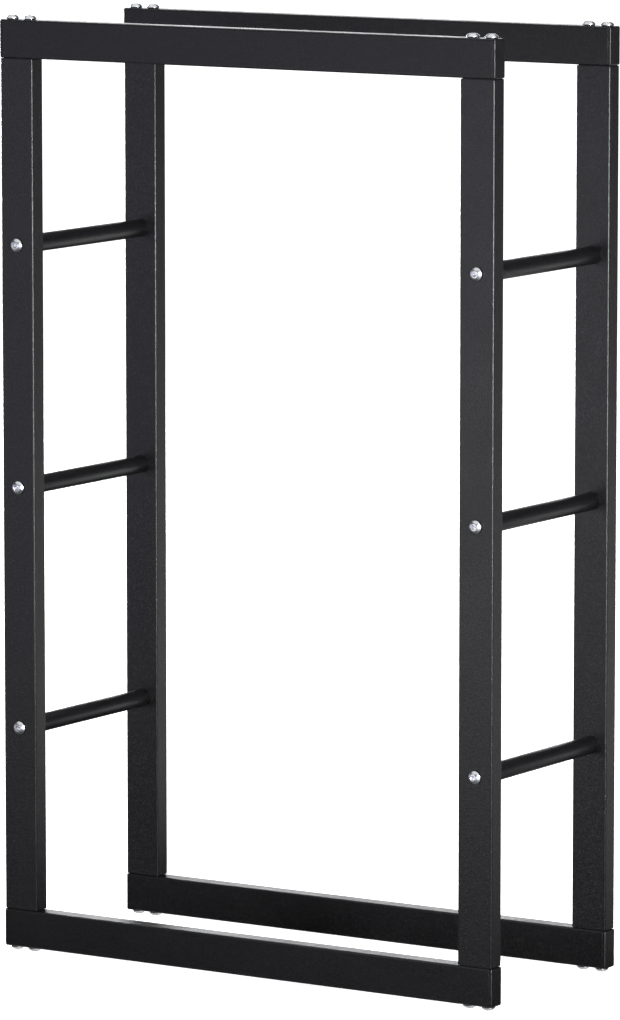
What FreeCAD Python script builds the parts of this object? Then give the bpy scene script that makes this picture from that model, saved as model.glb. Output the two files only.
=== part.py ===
import FreeCAD, Part
import Sketcher
import math
import os

# A free-standing firewood log rack. Two upright frames of rectangular steel tube, one in front
# and one behind, are held apart by three round rungs on each side. In each frame the two posts
# stand between a top rail and a bottom rail that run the full width. Button-head bolts hold
# every joint, so the rack comes apart into flat tubes: a pair goes through each rail end into
# the threaded block in the post, and one goes through each post into the end of each rung. The
# rack stands on the heads of the bolts under its bottom rails.
#
# Own frame: +X to the right, +Y to the rear, +Z up, in millimetres. The origin is on the floor,
# under the middle of the rack.

SIZES = [
    ("rack_width", 600.0, "over the end plates of the rails"),
    ("rack_depth", 250.0, "over the front and rear tubes"),
    ("frame_height", 980.0, "underside of the bottom rails to the top of the top rails"),
    ("tube_wide", 40.0, "wide side of the rectangular tube"),
    ("tube_deep", 20.0, "narrow side of the rectangular tube"),
    ("tube_wall", 1.5, "wall of the rectangular tube"),
    ("tube_round", 2.0, "outer corner radius of the rectangular tube"),
    ("rail_overhang", 0.6, "rail end past the outer side of the post"),
    ("plate_thick", 3.0, "plate that closes a rail's end"),
    ("plate_round", 1.5, "rounding of the plate's outer edges"),
    ("edge_break", 0.5, "chamfer on the cut ends of the posts"),
    ("rung_outer", 19.0, "outer diameter of a rung"),
    ("rung_wall", 1.5, "wall of a rung"),
    ("lowest_rung", 235.0, "lowest rungs' centre above the underside of the bottom rails"),
    ("rung_step", 255.0, "from one rung up to the next"),
    ("block_thick", 15.0, "threaded block in a post's end"),
    ("block_gap", 0.1, "weld gap between the block and the tube, each side"),
    ("block_round", 1.0, "corner radius of the threaded block"),
    ("plug_thick", 15.0, "threaded plug in a rung's end"),
    ("plug_gap", 0.05, "between the plug and the rung, on the radius"),
    ("bolt_outer", 8.0, "M8 bolt, plain shank diameter"),
    ("thread_outer", 7.19, "M8 thread drawn plain at its pitch diameter"),
    ("thread_hole", 7.29, "M8 tapped hole drawn plain, with a little play"),
    ("thread_long", 28.0, "threaded length of either bolt"),
    ("bolt_hole", 8.5, "clearance hole through the tubes"),
    ("head_outer", 14.0, "button head diameter"),
    ("head_high", 4.4, "button head height"),
    ("head_rim", 0.5, "straight rim under the dome of the head"),
    ("head_flat", 7.4, "diameter of the flat on top of the head"),
    ("socket_wide", 5.0, "hex socket across its flats"),
    ("socket_deep", 2.6, "hex socket depth"),
    ("tip_chamfer", 0.8, "chamfer on the bolt's tip"),
    ("corner_bolt_long", 55.0, "rail and block together"),
    ("rung_bolt_long", 35.0, "post and plug together"),
    ("corner_bolt_gap", 22.0, "between the two bolts of a corner"),
]

FACES = {"front": -1, "rear": 1}
SIDES = {"left": -1, "right": 1}
LEVELS = {"bottom": 0, "top": 1}
RUNGS = {"lower": 0, "middle": 1, "upper": 2}

doc = FreeCAD.newDocument("log_rack")
sheet = doc.addObject("Spreadsheet::Sheet", "sizes")
for row, (word, size, note) in enumerate(SIZES, start=1):
    sheet.set(f"A{row}", word)
    sheet.set(f"B{row}", str(size))
    sheet.setAlias(f"B{row}", word)
    sheet.set(f"C{row}", note)
doc.recompute()


def value(size):
    """The number that an expression on the sheet gives now."""
    return float(sheet.evalExpression(size))


# Sizes that several pieces share, worked out from the sheet.
HALF_DEPTH = "sizes.rack_depth / 2"
POST_X = "(sizes.rack_width / 2 - sizes.rail_overhang - sizes.tube_wide / 2)"
TUBE_Y = "(sizes.rack_depth - sizes.tube_deep) / 2"
POST_LONG = "(sizes.frame_height - 2 * sizes.tube_wide)"
BORE_WIDE = "(sizes.tube_wide - 2 * sizes.tube_wall)"
BORE_DEEP = "(sizes.tube_deep - 2 * sizes.tube_wall)"
BORE_ROUND = "(sizes.tube_round - sizes.tube_wall)"
PAIR_X = "sizes.corner_bolt_gap / 2"
SAME_PLANE = 0.001


# ---- building blocks: bodies, sketches and the shapes that are drawn in them


def new_body(label):
    """An empty body, with its own name."""
    body = doc.addObject("PartDesign::Body", label)
    body.Label = label
    body.AllowCompound = True
    return body


def origin_plane(body, role):
    """One of the body's own three planes."""
    return next(plane for plane in body.Origin.OriginFeatures if plane.Role == role)


def new_sketch(body, name, role, lift="0"):
    """A sketch on one of the body's own planes, lifted along that plane's normal."""
    sketch = body.newObject("Sketcher::SketchObject", name)
    sketch.AttachmentSupport = [(origin_plane(body, role), "")]
    sketch.MapMode = "FlatFace"
    sketch.setExpression("AttachmentOffset.Base.z", lift)
    return sketch


def hold(sketch, kind, places, size):
    """A size in the sketch, bound to the sheet."""
    index = sketch.addConstraint(Sketcher.Constraint(kind, *places, value(size)))
    sketch.setExpression(f"Constraints[{index}]", size)


def draw_circle(sketch, across, x_size, y_size):
    """A circle of the diameter across, with its centre at x_size, y_size."""
    centre = FreeCAD.Vector(value(x_size), value(y_size), 0)
    circle = sketch.addGeometry(Part.Circle(centre, FreeCAD.Vector(0, 0, 1), value(across) / 2))
    hold(sketch, "Diameter", (circle,), across)
    hold(sketch, "DistanceX", (-1, 1, circle, 3), x_size)
    hold(sketch, "DistanceY", (-1, 1, circle, 3), y_size)


def draw_rounded_rectangle(sketch, wide, high, corner):
    """A rectangle round the sketch's origin, with four equal rounded corners."""
    x = value(wide) / 2
    y = value(high) / 2
    r = value(corner)
    runs = [
        ((r - x, -y), (x - r, -y)),
        ((x, r - y), (x, y - r)),
        ((x - r, y), (r - x, y)),
        ((-x, y - r), (-x, r - y)),
    ]
    centres = [(x - r, r - y), (x - r, y - r), (r - x, y - r), (r - x, r - y)]
    lines = []
    arcs = []
    for turn, (run, centre) in enumerate(zip(runs, centres)):
        ends = [FreeCAD.Vector(*end, 0) for end in run]
        lines.append(sketch.addGeometry(Part.LineSegment(*ends)))
        ring = Part.Circle(FreeCAD.Vector(*centre, 0), FreeCAD.Vector(0, 0, 1), r)
        start = (turn - 1) * math.pi / 2
        arcs.append(sketch.addGeometry(Part.ArcOfCircle(ring, start, start + math.pi / 2)))
    for turn in range(4):
        following = lines[(turn + 1) % 4]
        sketch.addConstraint(Sketcher.Constraint("Tangent", lines[turn], 2, arcs[turn], 1))
        sketch.addConstraint(Sketcher.Constraint("Tangent", arcs[turn], 2, following, 1))
    for flat, upright in ((lines[0], lines[1]), (lines[2], lines[3])):
        sketch.addConstraint(Sketcher.Constraint("Horizontal", flat))
        sketch.addConstraint(Sketcher.Constraint("Vertical", upright))
    for arc in arcs[1:]:
        sketch.addConstraint(Sketcher.Constraint("Equal", arcs[0], arc))
    sketch.addConstraint(Sketcher.Constraint("Symmetric", lines[0], 1, lines[2], 1, -1, 1))
    hold(sketch, "Radius", (arcs[0],), corner)
    hold(sketch, "DistanceX", (lines[3], 1, lines[1], 1), wide)
    hold(sketch, "DistanceY", (lines[0], 1, lines[2], 1), high)


def draw_outline(sketch, points):
    """Straight lines round a closed list of points."""
    ends = [FreeCAD.Vector(*point, 0) for point in points]
    lines = []
    for start, end in zip(ends, ends[1:] + ends[:1]):
        lines.append(sketch.addGeometry(Part.LineSegment(start, end)))
    for line, following in zip(lines, lines[1:] + lines[:1]):
        sketch.addConstraint(Sketcher.Constraint("Coincident", line, 2, following, 1))
    return lines


def draw_hexagon(sketch, across, x_size):
    """A hexagon with two flats upright, with its centre at x_size on the sketch's X axis."""
    middle = value(x_size)
    reach = value(across) / math.sqrt(3)
    turns = [math.radians(60 * step + 30) for step in range(6)]
    lines = draw_outline(sketch, [(middle + reach * math.cos(t), reach * math.sin(t)) for t in turns])
    centre = FreeCAD.Vector(middle, 0, 0)
    guide = sketch.addGeometry(Part.Circle(centre, FreeCAD.Vector(0, 0, 1), reach), True)
    for line in lines:
        sketch.addConstraint(Sketcher.Constraint("PointOnObject", line, 1, guide))
    for line in lines[1:]:
        sketch.addConstraint(Sketcher.Constraint("Equal", lines[0], line))
    sketch.addConstraint(Sketcher.Constraint("Vertical", lines[5]))
    sketch.addConstraint(Sketcher.Constraint("PointOnObject", guide, 3, -1))
    hold(sketch, "Radius", (guide,), f"{across} / sqrt(3)")
    hold(sketch, "DistanceX", (-1, 1, guide, 3), x_size)


def add_pad(body, sketch, length, both_ways=False):
    """Material along the sketch's normal, or half of it to each side."""
    pad = body.newObject("PartDesign::Pad", sketch.Name + "_pad")
    pad.Profile = sketch
    pad.SideType = "Symmetric" if both_ways else "One side"
    pad.setExpression("Length", length)
    doc.recompute()
    return pad


def add_cut(body, sketch, depth=None):
    """A pocket: right through to both sides, or to a depth against the sketch's normal."""
    before = body.Shape.Volume
    pocket = body.newObject("PartDesign::Pocket", sketch.Name + "_cut")
    pocket.Profile = sketch
    if depth is None:
        pocket.SideType = "Symmetric"
        pocket.Type = "ThroughAll"
    else:
        pocket.setExpression("Length", depth)
    doc.recompute()
    if not body.Shape.Volume < before:
        raise RuntimeError(f"{pocket.Label} cuts nothing from {body.Label}")
    return pocket


def edges_at(feature, axis, height):
    """The names of the feature's edges that lie in one plane across an axis, X or Z."""
    names = []
    for number, edge in enumerate(feature.Shape.Edges, start=1):
        low = getattr(edge.BoundBox, axis + "Min")
        high = getattr(edge.BoundBox, axis + "Max")
        if max(abs(low - height), abs(high - height)) < SAME_PLANE:
            names.append(f"Edge{number}")
    return names


def place(body, x_size, y_size, z_size, turn=None):
    """The body's place in the rack, bound to the sheet, after an optional turn."""
    body.Placement = FreeCAD.Placement(FreeCAD.Vector(), turn or FreeCAD.Rotation())
    body.setExpression("Placement.Base.x", x_size)
    body.setExpression("Placement.Base.y", y_size)
    body.setExpression("Placement.Base.z", z_size)


# ---- the pieces, each drawn round its own origin


def make_rail(label):
    """Full-width tube, lying along X, with four bolt holes through its top and bottom walls."""
    body = new_body(label)
    outside = new_sketch(body, label + "_outside", "YZ_Plane")
    draw_rounded_rectangle(outside, "sizes.tube_deep", "sizes.tube_wide", "sizes.tube_round")
    add_pad(body, outside, "sizes.rack_width - 2 * sizes.plate_thick", both_ways=True)
    inside = new_sketch(body, label + "_inside", "YZ_Plane")
    draw_rounded_rectangle(inside, BORE_DEEP, BORE_WIDE, BORE_ROUND)
    add_cut(body, inside)
    holes = new_sketch(body, label + "_holes", "XY_Plane")
    for side in SIDES.values():
        for hand in (-1, 1):
            draw_circle(holes, "sizes.bolt_hole", f"{side} * {POST_X} + {hand} * {PAIR_X}", "0")
    add_cut(body, holes)
    return body


def make_end_plate(label):
    """Plate that closes a rail, with its outer edges rounded; its outer face looks along +X."""
    body = new_body(label)
    outline = new_sketch(body, label + "_outline", "YZ_Plane")
    draw_rounded_rectangle(outline, "sizes.tube_deep", "sizes.tube_wide", "sizes.tube_round")
    pad = add_pad(body, outline, "sizes.plate_thick")
    rounding = body.newObject("PartDesign::Fillet", label + "_rounding")
    rounding.Base = (pad, edges_at(pad, "X", value("sizes.plate_thick")))
    rounding.setExpression("Radius", "sizes.plate_round")
    return body


def make_post(label):
    """Upright tube, its foot at z = 0, with three bolt holes from front to rear."""
    body = new_body(label)
    outside = new_sketch(body, label + "_outside", "XY_Plane")
    draw_rounded_rectangle(outside, "sizes.tube_wide", "sizes.tube_deep", "sizes.tube_round")
    pad = add_pad(body, outside, POST_LONG)
    deburred = body.newObject("PartDesign::Chamfer", label + "_deburred")
    ends = edges_at(pad, "Z", 0.0) + edges_at(pad, "Z", value(POST_LONG))
    deburred.Base = (pad, ends)
    deburred.setExpression("Size", "sizes.edge_break")
    inside = new_sketch(body, label + "_inside", "XY_Plane")
    draw_rounded_rectangle(inside, BORE_WIDE, BORE_DEEP, BORE_ROUND)
    add_cut(body, inside)
    holes = new_sketch(body, label + "_holes", "XZ_Plane")
    for step in RUNGS.values():
        rise = f"sizes.lowest_rung + {step} * sizes.rung_step - sizes.tube_wide"
        draw_circle(holes, "sizes.bolt_hole", "0", rise)
    add_cut(body, holes)
    return body


def make_block(label):
    """Steel block welded into a post's end, with two M8 threaded holes; its foot is at z = 0."""
    body = new_body(label)
    outline = new_sketch(body, label + "_outline", "XY_Plane")
    wide = f"{BORE_WIDE} - 2 * sizes.block_gap"
    deep = f"{BORE_DEEP} - 2 * sizes.block_gap"
    draw_rounded_rectangle(outline, wide, deep, "sizes.block_round")
    add_pad(body, outline, "sizes.block_thick")
    threads = new_sketch(body, label + "_threads", "XY_Plane")
    for hand in (-1, 1):
        draw_circle(threads, "sizes.thread_hole", f"{hand} * {PAIR_X}", "0")
    add_cut(body, threads)
    return body


def make_rung(label):
    """Round tube from the front post to the rear post, lying along Y."""
    body = new_body(label)
    ring = new_sketch(body, label + "_ring", "XZ_Plane")
    draw_circle(ring, "sizes.rung_outer", "0", "0")
    draw_circle(ring, "sizes.rung_outer - 2 * sizes.rung_wall", "0", "0")
    add_pad(body, ring, "sizes.rack_depth - 2 * sizes.tube_deep", both_ways=True)
    return body


def make_plug(label):
    """Round M8 plug in a rung's end; it lies along Y, from y = 0 towards the front."""
    body = new_body(label)
    ring = new_sketch(body, label + "_ring", "XZ_Plane")
    bore = "sizes.rung_outer - 2 * sizes.rung_wall"
    draw_circle(ring, f"{bore} - 2 * sizes.plug_gap", "0", "0")
    draw_circle(ring, "sizes.thread_hole", "0", "0")
    add_pad(body, ring, "sizes.plug_thick")
    return body


def make_bolt_pair(label, long, aside, rise, mirror_role):
    """Two M8 button-head bolts; the second is the first one's image in one of the body's planes.

    The first stands upright, its axis aside along X and its head seated at the height rise.
    """
    body = new_body(label)
    profile = new_sketch(body, label + "_profile", "XZ_Plane")
    draw_bolt_profile(profile, long, aside, rise)
    turned = body.newObject("PartDesign::Revolution", label + "_turned")
    turned.Profile = profile
    turned.ReferenceAxis = (profile, ["Axis0"])
    turned.Angle = 360
    doc.recompute()
    hexagon = new_sketch(body, label + "_hexagon", "XY_Plane", f"{rise} + sizes.head_high")
    draw_hexagon(hexagon, "sizes.socket_wide", aside)
    socket = add_cut(body, hexagon, "sizes.socket_deep")
    pair = body.newObject("PartDesign::Mirrored", label + "_pair")
    pair.Originals = [turned, socket]
    pair.MirrorPlane = (origin_plane(body, mirror_role), [""])
    body.Tip = pair
    return body


def draw_bolt_profile(sketch, long, aside, rise):
    """Half of a bolt's section, to the right of its axis, which is drawn as a guide."""
    tip = f"{rise} - {long}"
    top = f"{rise} + sizes.head_high"
    thread = "sizes.thread_outer / 2"
    thread_top = f"{tip} + sizes.thread_long"
    corners = [
        ("0", tip),
        (f"{thread} - sizes.tip_chamfer", tip),
        (thread, f"{tip} + sizes.tip_chamfer"),
        (thread, thread_top),
        ("sizes.bolt_outer / 2", thread_top),
        ("sizes.bolt_outer / 2", rise),
        ("sizes.head_outer / 2", rise),
        ("sizes.head_outer / 2", f"{rise} + sizes.head_rim"),
        ("sizes.head_flat / 2", top),
        ("0", top),
    ]
    dome_edge = 7
    ends = [FreeCAD.Vector(value(f"{aside} + {x}"), value(y), 0) for x, y in corners]
    guide = sketch.addGeometry(Part.LineSegment(ends[0], ends[-1]), True)
    edges = []
    for number, (start, end) in enumerate(zip(ends, ends[1:] + ends[:1])):
        edge = dome_arc(ends[0].x, start, end) if number == dome_edge else Part.LineSegment(start, end)
        edges.append(sketch.addGeometry(edge))
    for edge, following, (x, y) in zip(edges, edges[1:] + edges[:1], corners):
        sketch.addConstraint(Sketcher.Constraint("Coincident", edge, 2, following, 1))
        hold(sketch, "DistanceX", (-1, 1, edge, 1), f"{aside} + {x}")
        hold(sketch, "DistanceY", (-1, 1, edge, 1), y)
    sketch.addConstraint(Sketcher.Constraint("Coincident", guide, 1, edges[0], 1))
    sketch.addConstraint(Sketcher.Constraint("Coincident", guide, 2, edges[-1], 1))
    sketch.addConstraint(Sketcher.Constraint("PointOnObject", edges[dome_edge], 3, guide))


def dome_arc(axis_x, rim, flat):
    """The arc from rim to flat of a circle whose centre is on the upright line at axis_x."""
    rim_reach = rim.x - axis_x
    flat_reach = flat.x - axis_x
    rise = flat.y - rim.y
    centre_y = (rim.y + flat.y) / 2 - (rim_reach**2 - flat_reach**2) / (2 * rise)
    radius = math.hypot(rim_reach, rim.y - centre_y)
    ring = Part.Circle(FreeCAD.Vector(axis_x, centre_y, 0), FreeCAD.Vector(0, 0, 1), radius)
    low = math.atan2(rim.y - centre_y, rim_reach)
    high = math.atan2(flat.y - centre_y, flat_reach)
    return Part.ArcOfCircle(ring, low, high)


# ---- the rack

RAIL_TOP = "(sizes.head_high + sizes.frame_height)"
POST_FOOT = "(sizes.head_high + sizes.tube_wide)"
TURN_BACK = FreeCAD.Rotation(FreeCAD.Vector(0, 0, 1), 180)
TURN_OVER = FreeCAD.Rotation(FreeCAD.Vector(1, 0, 0), 180)
HEAD_TO_FRONT = FreeCAD.Rotation(FreeCAD.Vector(1, 0, 0), 90)

# For a level: the rail's centre, the seat of its bolt heads, and the turn that the bolts take.
RAIL_PLACES = {
    "bottom": ("sizes.head_high + sizes.tube_wide / 2", "sizes.head_high", TURN_OVER),
    "top": (f"{RAIL_TOP} - sizes.tube_wide / 2", RAIL_TOP, None),
}
BLOCK_FEET = {
    "bottom": POST_FOOT,
    "top": f"{POST_FOOT} + {POST_LONG} - sizes.block_thick",
}

pieces = []
for face, near in FACES.items():
    tube_y = f"{near} * {TUBE_Y}"
    for level, (rail_z, seat_z, bolt_turn) in RAIL_PLACES.items():
        rail = make_rail(f"{face}_{level}_rail")
        place(rail, "0", tube_y, rail_z)
        pieces.append(rail)
        for side, hand in SIDES.items():
            plate = make_end_plate(f"{face}_{level}_rail_{side}_plate")
            plate_x = f"{hand} * (sizes.rack_width / 2 - sizes.plate_thick)"
            place(plate, plate_x, tube_y, rail_z, TURN_BACK if hand < 0 else None)
            bolts = make_bolt_pair(
                f"{face}_{side}_{level}_bolts", "sizes.corner_bolt_long", PAIR_X, "0", "YZ_Plane"
            )
            place(bolts, f"{hand} * {POST_X}", tube_y, seat_z, bolt_turn)
            pieces += [plate, bolts]
    for side, hand in SIDES.items():
        post_x = f"{hand} * {POST_X}"
        post = make_post(f"{face}_{side}_post")
        place(post, post_x, tube_y, POST_FOOT)
        pieces.append(post)
        for level, foot in BLOCK_FEET.items():
            block = make_block(f"{face}_{side}_post_{level}_block")
            place(block, post_x, tube_y, foot)
            pieces.append(block)

for side, hand in SIDES.items():
    for height, step in RUNGS.items():
        rung_x = f"{hand} * {POST_X}"
        rung_z = f"sizes.head_high + sizes.lowest_rung + {step} * sizes.rung_step"
        rung = make_rung(f"{side}_{height}_rung")
        place(rung, rung_x, "0", rung_z)
        bolts = make_bolt_pair(
            f"{side}_{height}_rung_bolts", "sizes.rung_bolt_long", "0", HALF_DEPTH, "XY_Plane"
        )
        place(bolts, rung_x, "0", rung_z, HEAD_TO_FRONT)
        pieces += [rung, bolts]
        for face, near in FACES.items():
            plug = make_plug(f"{side}_{height}_rung_{face}_plug")
            plug_y = f"{near} * (sizes.rack_depth / 2 - sizes.tube_deep)"
            place(plug, rung_x, plug_y, rung_z, TURN_BACK if near < 0 else None)
            pieces.append(plug)

doc.recompute()


# ---- checks, then one STEP file for each piece

for thing in doc.Objects:
    if "Invalid" in thing.State or "Error" in thing.State:
        raise RuntimeError(f"{thing.Label} is {thing.State}")
for piece in pieces:
    if piece.Shape.isNull() or not piece.Shape.isValid():
        raise RuntimeError(f"{piece.Label} has no valid shape")

os.makedirs("parts", exist_ok=True)
for piece in pieces:
    piece.Shape.exportStep(f"parts/{piece.Label}.step")
    box = piece.Shape.BoundBox
    print(
        f"{piece.Label}: {len(piece.Shape.Solids)} solid, {piece.Shape.Volume / 1000:.2f} cm3, "
        f"x {box.XMin:.1f}..{box.XMax:.1f}, y {box.YMin:.1f}..{box.YMax:.1f}, "
        f"z {box.ZMin:.1f}..{box.ZMax:.1f}"
    )
print(f"{len(pieces)} pieces")
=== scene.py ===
# %% [markdown]
# # A firewood log rack in black steel tube
#
# The rack is two upright frames of rectangular tube, held apart by round rungs and bolted
# together with bright button-head bolts. Everything on it follows a rule: a tube is one section
# carried along a line, and the same bolt turns up in twenty-eight places. That makes it a good
# piece for Geometry Nodes, with real wall thickness, real holes and rounded edges. The character
# then comes from the finish, a fine-grained black powder coat.
#
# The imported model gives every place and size. This script only gives each part its finished
# shape and surface.

# %% Load the frame
import math

import bmesh
import bpy
from mathutils import Matrix, Vector


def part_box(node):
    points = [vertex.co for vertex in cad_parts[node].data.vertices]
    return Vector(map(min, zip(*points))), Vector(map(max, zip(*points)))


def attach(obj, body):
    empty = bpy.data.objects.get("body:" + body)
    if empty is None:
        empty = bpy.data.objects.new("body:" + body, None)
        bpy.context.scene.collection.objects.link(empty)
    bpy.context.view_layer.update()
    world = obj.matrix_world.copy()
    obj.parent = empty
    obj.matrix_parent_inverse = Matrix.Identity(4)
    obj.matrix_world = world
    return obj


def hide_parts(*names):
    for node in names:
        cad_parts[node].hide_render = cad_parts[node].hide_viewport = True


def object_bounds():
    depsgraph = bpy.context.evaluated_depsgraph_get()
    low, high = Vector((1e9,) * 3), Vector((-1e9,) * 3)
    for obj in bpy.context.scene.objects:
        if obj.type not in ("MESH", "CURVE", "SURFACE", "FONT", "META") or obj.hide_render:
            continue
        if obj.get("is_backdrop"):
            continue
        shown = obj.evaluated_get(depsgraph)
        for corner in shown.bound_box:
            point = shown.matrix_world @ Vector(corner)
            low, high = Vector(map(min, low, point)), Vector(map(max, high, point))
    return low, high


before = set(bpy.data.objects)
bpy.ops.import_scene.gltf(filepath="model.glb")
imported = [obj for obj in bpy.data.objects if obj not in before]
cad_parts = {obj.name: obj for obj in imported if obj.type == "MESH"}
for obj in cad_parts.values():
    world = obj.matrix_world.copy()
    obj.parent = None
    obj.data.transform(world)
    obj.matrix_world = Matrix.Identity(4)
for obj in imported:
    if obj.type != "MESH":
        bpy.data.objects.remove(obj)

cad_low, cad_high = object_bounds()
print(f"{len(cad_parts)} nodes, {(cad_high - cad_low) * 1000} mm overall")

# %% [markdown]
# ## Sizes
#
# The section of the tube, the wall, the bolts and the spacing of the rungs could be typed in, but
# they would drift away from the model as soon as it changed. So they are read off the boxes of
# the nodes, and only what a box can't tell, such as a corner radius or a wall, is given a name
# and a value here. All lengths are in metres.

# %% Read the sizes off the frame
FACES = {"front": -1, "rear": 1}
SIDES = {"left": -1, "right": 1}
LEVELS = {"bottom": -1, "top": 1}
RUNGS = ("lower", "middle", "upper")


def middle(node):
    """The centre of a node's box."""
    low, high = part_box(node)
    return (low + high) / 2


def extent(node):
    """The size of a node's box."""
    low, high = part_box(node)
    return high - low


TUBE_DEEP = extent("front_left_post").y
TUBE_WIDE = extent("front_left_post").x
POST_LONG = extent("front_left_post").z
POST_SPACING = middle("front_right_post").x - middle("front_left_post").x
RAIL_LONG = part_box("front_top_rail_right_plate")[1].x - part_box("front_top_rail_left_plate")[0].x
PLATE_THICK = extent("front_top_rail_left_plate").x
RUNG_OUTER = extent("left_lower_rung").x
RUNG_LONG = extent("left_lower_rung").y
RUNG_STEP = middle("left_middle_rung").z - middle("left_lower_rung").z
HEAD_OUTER = extent("left_lower_rung_bolts").x
PAIR_STEP = extent("front_left_top_bolts").x - HEAD_OUTER
HEAD_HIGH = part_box("front_left_top_bolts")[1].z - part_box("front_top_rail")[1].z
CORNER_BOLT_LONG = extent("front_left_top_bolts").z - HEAD_HIGH
RACK_DEPTH = extent("left_lower_rung_bolts").y - 2 * HEAD_HIGH
RUNG_BOLT_LONG = (RACK_DEPTH - RUNG_LONG) / 2 + extent("left_lower_rung_front_plug").y

TUBE_WALL = 0.0015
TUBE_CORNER = 0.002
PLATE_ROUNDING = 0.0015
TUBE_RIM = 0.0007
RUNG_RIM = 0.0005
BOLT_HOLE = 0.0085
JOINT_GAP = 0.0005
print(f"tube {TUBE_WIDE * 1000:.0f} x {TUBE_DEEP * 1000:.0f} mm, rungs {RUNG_OUTER * 1000:.0f} mm")

# %% [markdown]
# ## The camera
#
# A tall thin object looks best through a long lens from some way off: its uprights stay nearly
# parallel and both frames keep the same weight. A short lens close by would splay the posts. The
# camera stands to the front right, a little above the top rails, and looks down at the middle of
# the rack.

# %% Place the camera
CAMERA_AZIMUTH = math.radians(32.43)
CAMERA_ELEVATION = math.radians(7.77)
CAMERA_DISTANCE = 6.933
CAMERA_LENS = 235.0
CAMERA_AIM = Vector((0.0031, 0.0, 0.4772))
CAMERA_SIGHT = 200.0


def place_camera():
    """A long-lens camera on its way round and up from the front of the rack."""
    data = bpy.data.cameras.new("studio_camera")
    data.lens = CAMERA_LENS
    data.clip_end = CAMERA_SIGHT
    camera = bpy.data.objects.new("studio_camera", data)
    bpy.context.scene.collection.objects.link(camera)
    back = Vector(
        (
            math.sin(CAMERA_AZIMUTH) * math.cos(CAMERA_ELEVATION),
            -math.cos(CAMERA_AZIMUTH) * math.cos(CAMERA_ELEVATION),
            math.sin(CAMERA_ELEVATION),
        )
    )
    camera.location = CAMERA_AIM + back * CAMERA_DISTANCE
    camera.rotation_euler = (-back).to_track_quat("-Z", "Y").to_euler()
    bpy.context.scene.camera = camera
    return camera


camera = place_camera()
print(f"camera at {tuple(round(x, 2) for x in camera.location)} m")

# %% [markdown]
# ## Building trees of nodes
#
# Materials, the world and Geometry Nodes are all trees of nodes. Written out in full they are
# long and hard to read, so one small helper adds a node, sets it up and plugs it in. A value that
# is itself a socket becomes a link; anything else is set on the socket.

# %% Helpers that add nodes
def add(tree, kind, sockets=None, **settings):
    """A new node in the tree, with its settings, and with its inputs set or linked by name."""
    node = tree.nodes.new(kind)
    for name, setting in settings.items():
        setattr(node, name, setting)
    for name, given in (sockets or {}).items():
        if isinstance(given, bpy.types.NodeSocket):
            tree.links.new(given, node.inputs[name])
        else:
            node.inputs[name].default_value = given
    return node


def maths(tree, first, second, operation):
    """The result of one sum on two sockets or numbers."""
    return add(tree, "ShaderNodeMath", {0: first, 1: second}, operation=operation).outputs[0]


def ramp(tree, factor, stops):
    """A colour ramp of greys or colours: stops is a list of (place, colour)."""
    node = add(tree, "ShaderNodeValToRGB", {"Fac": factor})
    elements = node.color_ramp.elements
    while len(elements) < len(stops):
        elements.new(1.0)
    for element, (place, colour) in zip(elements, stops):
        element.position = place
        element.color = (*colour, 1) if isinstance(colour, tuple) else (colour, colour, colour, 1)
    return node.outputs["Color"]


print("helpers that add a node, a sum and a ramp")

# %% [markdown]
# ## The studio
#
# Black gloss shows its surroundings more than its own colour, so the surroundings are the real
# lighting. Lamps alone would leave the wide flat faces an even black. So two things are kept
# apart here. The camera sees a plain white floor and backdrop. The gloss sees a dark cloth, a
# room with light and dark parts, and a few soft boxes, each placed for a face that mirrors it.
#
# Several of these are sheets that give off their own light, and several are hidden from one kind
# of ray or another, so both get a helper.

# %% Helpers for the studio
def towards(tree, way, side, stops):
    """A grey or colour that depends on how far a direction points to one side."""
    dot = add(tree, "ShaderNodeVectorMath", {0: way, 1: side}, operation="DOT_PRODUCT")
    return ramp(tree, dot.outputs["Value"], stops)


def times(tree, first, second):
    """Two colours multiplied."""
    both = add(tree, "ShaderNodeVectorMath", {0: first, 1: second}, operation="MULTIPLY")
    return both.outputs["Vector"]


def blend(tree, factor, first, second):
    """A colour between two others."""
    node = add(tree, "ShaderNodeMix", data_type="RGBA")
    sockets = [socket for socket in node.inputs if socket.enabled]
    for socket, source in zip(sockets, (factor, first, second)):
        tree.links.new(source, socket)
    return next(socket for socket in node.outputs if socket.enabled)


def start_glow(name):
    """A new material for a glowing sheet, and its empty tree."""
    material = bpy.data.materials.new(name)
    material.use_nodes = True
    material.node_tree.nodes.clear()
    return material, material.node_tree


def end_glow(tree, sockets):
    """The last nodes of a glowing sheet's tree."""
    glow = add(tree, "ShaderNodeEmission", sockets)
    add(tree, "ShaderNodeOutputMaterial", {"Surface": glow.outputs["Emission"]})


def stage_sheet(name, form, material):
    """A shape made an object and staged, so that it isn't part of the rack."""
    mesh = bpy.data.meshes.new(name)
    form.to_mesh(mesh)
    form.free()
    mesh.materials.append(material)
    sheet = bpy.data.objects.new(name, mesh)
    bpy.context.scene.collection.objects.link(sheet)
    sheet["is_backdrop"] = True
    return sheet


def hide_from(thing, *rays):
    """Hides a thing from some kinds of ray."""
    for ray in rays:
        setattr(thing, f"visible_{ray}", False)


print("helpers for colours by direction, glowing sheets and hiding")

# %% [markdown]
# ## Floor and backdrop
#
# The floor is pale, matt and bright enough to drown its own shadows. It could run on for ever,
# but a camera sees only so far, so it ends at a round white backdrop that closes the view at any
# low angle. Neither is seen by the gloss, and the backdrop is seen by nothing but the camera.

# %% Lay the floor and stand up the backdrop
FLOOR_REACH = 40.0
FLOOR_STEPS = 96
FLOOR_WHITE = 0.9
FLOOR_GLOW = 0.85
BACKDROP_HIGH = 20.0
BACKDROP_GLOW = 1.0


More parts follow.
